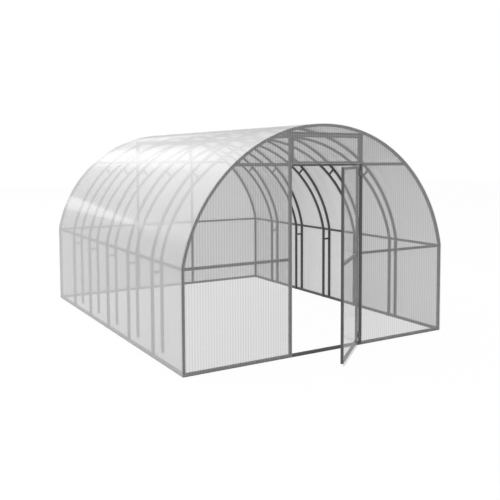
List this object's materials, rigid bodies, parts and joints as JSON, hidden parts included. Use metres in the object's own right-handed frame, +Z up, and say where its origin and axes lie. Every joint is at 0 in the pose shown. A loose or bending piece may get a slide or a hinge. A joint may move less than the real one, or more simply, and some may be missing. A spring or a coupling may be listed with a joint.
{
  "type": "polytunnel greenhouse",
  "caption": "Straight-walled arched greenhouse with a square-tube steel frame, polycarbonate sheets, ladder arches, end vents and a hinged door.",
  "frame": {"origin": "on the ground under the middle of the front sill, on the sill's own centre line", "axes": "+X to the right across the width, +Y from the front wall to the rear wall, +Z up"},
  "size_m": [3, 4.521, 2.1808],
  "materials": {
    "frame_steel": "satin grey primer-like paint",
    "hinge_steel": "zinc-plated, dulled",
    "polycarbonate": "clear twin-wall sheet, glossy"
  },
  "bodies": {
    "frame": {"base_rail_front": "frame_steel", "base_rail_left": "frame_steel", "base_rail_rear": "frame_steel", "base_rail_right": "frame_steel", "cover_sheet_front": "polycarbonate", "cover_sheet_rear": "polycarbonate", "door_hinge_pins": "hinge_steel", "front_corner_legs": "frame_steel", "front_crown_sheet": "polycarbonate", "front_end_arch": "frame_steel", "front_knee_rail": "frame_steel", "front_left_post": "frame_steel", "front_left_sheet": "polycarbonate", "front_lintel": "frame_steel", "front_right_post": "frame_steel", "front_right_sheet": "polycarbonate", "front_vent_header": "frame_steel", "front_vent_sash": "frame_steel", "front_vent_sheet": "polycarbonate", "knee_rail_left": "frame_steel", "knee_rail_right": "frame_steel", "ladder_arch_1": "frame_steel", "ladder_arch_2": "frame_steel", "ladder_arch_3": "frame_steel", "ladder_arch_4": "frame_steel", "ladder_arch_5": "frame_steel", "left_ladder_legs": "frame_steel", "rear_corner_legs": "frame_steel", "rear_crown_sheet": "polycarbonate", "rear_end_arch": "frame_steel", "rear_knee_rail": "frame_steel", "rear_left_post": "frame_steel", "rear_left_sheet": "polycarbonate", "rear_lintel": "frame_steel", "rear_middle_sheet": "polycarbonate", "rear_right_post": "frame_steel", "rear_right_sheet": "polycarbonate", "rear_vent_header": "frame_steel", "rear_vent_sash": "frame_steel", "rear_vent_sheet": "polycarbonate", "right_ladder_legs": "frame_steel"},
    "door": {"door_stiles": "frame_steel", "door_rails": "frame_steel", "door_sheet": "polycarbonate", "door_hinge_knuckles": "hinge_steel"}
  },
  "joints": [
    {"name": "door_hinge", "type": "hinge", "parent": "frame", "child": "door", "pos_m": [0.38, -0.0255, 0.9], "axis": [0, 0, 1], "range_deg": [-42, 78]}
  ]
}
